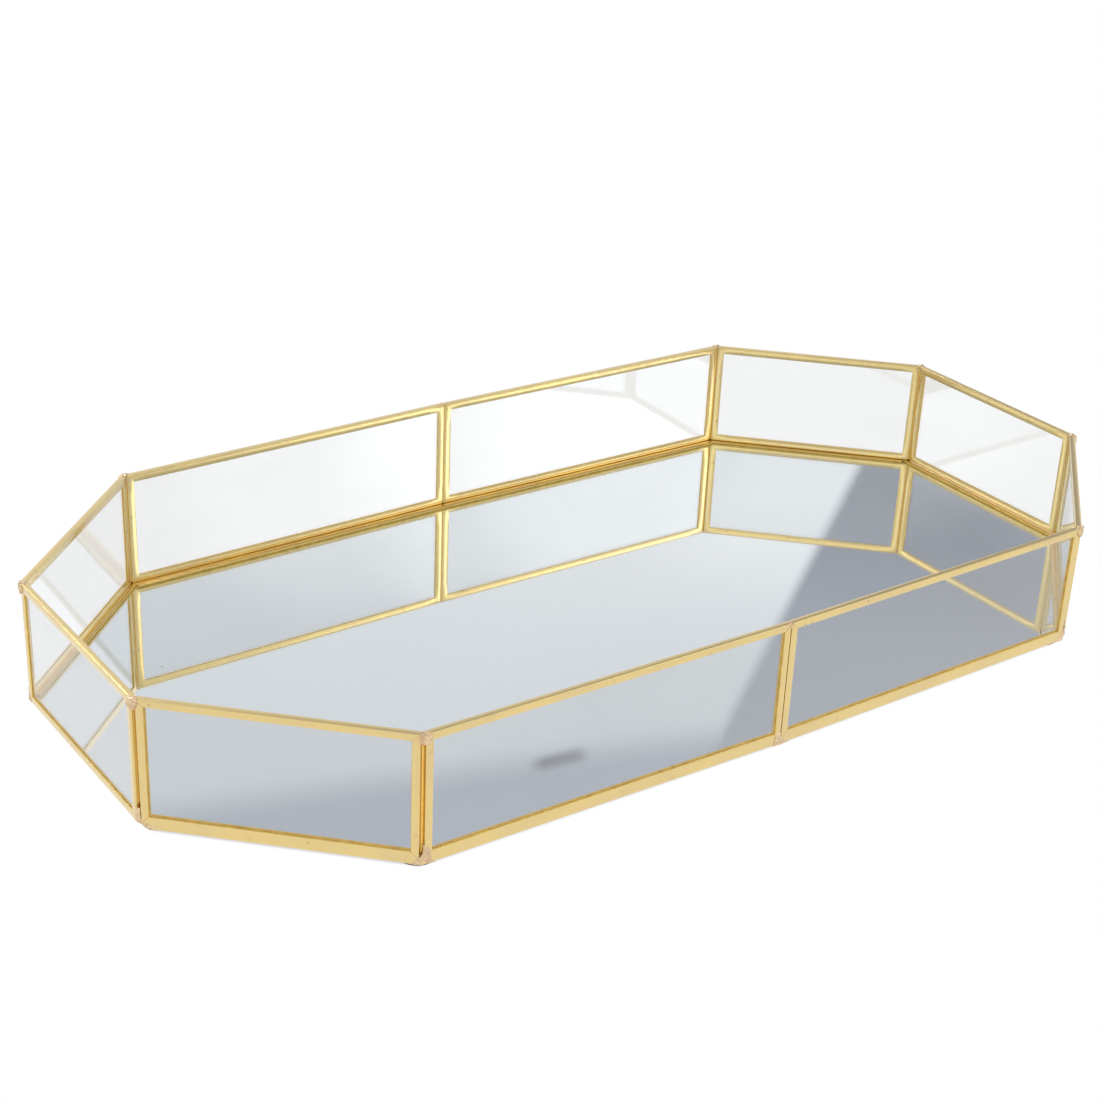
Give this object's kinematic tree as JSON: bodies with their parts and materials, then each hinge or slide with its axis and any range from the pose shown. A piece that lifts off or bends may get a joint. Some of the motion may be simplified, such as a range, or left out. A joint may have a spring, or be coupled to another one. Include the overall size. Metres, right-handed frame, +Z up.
{
  "type": "vanity tray",
  "caption": "Elongated octagonal dresser tray: clear glass panes in folded brass channel stand round a framed mirror base on flat round feet.",
  "frame": {"origin": "centre of the underside of the feet, under the middle of the tray", "axes": "+X along the length, +Y across towards the back, +Z up out of the tray"},
  "size_m": [0.4076, 0.2174, 0.049],
  "materials": {
    "brass": "thin folded sheet, polished with a soft brushed grain along its length, a little stained near the joints",
    "solder": "gilded solder, lumpy and semi-bright, pinker and duller than the channel",
    "clear_glass": "clear float glass",
    "mirror": "silvered float glass, slightly grey-blue, with a few dust specks",
    "mirror_paint": "grey protective paint on the back of the mirror",
    "foot_rubber": "matt dark brown-black rubber"
  },
  "bodies": {
    "root": {"base_channel_back": "brass", "base_channel_chamfer_back_left": "brass", "base_channel_chamfer_back_right": "brass", "base_channel_chamfer_front_left": "brass", "base_channel_chamfer_front_right": "brass", "base_channel_end_left": "brass", "base_channel_end_right": "brass", "base_channel_front": "brass", "foot_back_left": "foot_rubber", "foot_back_right": "foot_rubber", "foot_front_left": "foot_rubber", "foot_front_right": "foot_rubber", "frame_back_left": "brass", "frame_back_right": "brass", "frame_chamfer_back_left": "brass", "frame_chamfer_back_right": "brass", "frame_chamfer_front_left": "brass", "frame_chamfer_front_right": "brass", "frame_end_left": "brass", "frame_end_right": "brass", "frame_front_left": "brass", "frame_front_right": "brass", "glass_back_left": "clear_glass", "glass_back_right": "clear_glass", "glass_chamfer_back_left": "clear_glass", "glass_chamfer_back_right": "clear_glass", "glass_chamfer_front_left": "clear_glass", "glass_chamfer_front_right": "clear_glass", "glass_end_left": "clear_glass", "glass_end_right": "clear_glass", "glass_front_left": "clear_glass", "glass_front_right": "clear_glass", "mirror_backing": "mirror_paint", "mirror_plate": "mirror", "solder_low_back_left": "solder", "solder_low_back_middle": "solder", "solder_low_back_right": "solder", "solder_low_end_left_back": "solder", "solder_low_end_left_front": "solder", "solder_low_end_right_back": "solder", "solder_low_end_right_front": "solder", "solder_low_front_left": "solder", "solder_low_front_middle": "solder", "solder_low_front_right": "solder", "solder_top_back_left": "solder", "solder_top_back_middle": "solder", "solder_top_back_right": "solder", "solder_top_end_left_back": "solder", "solder_top_end_left_front": "solder", "solder_top_end_right_back": "solder", "solder_top_end_right_front": "solder", "solder_top_front_left": "solder", "solder_top_front_middle": "solder", "solder_top_front_right": "solder"}
  },
  "joints": []
}
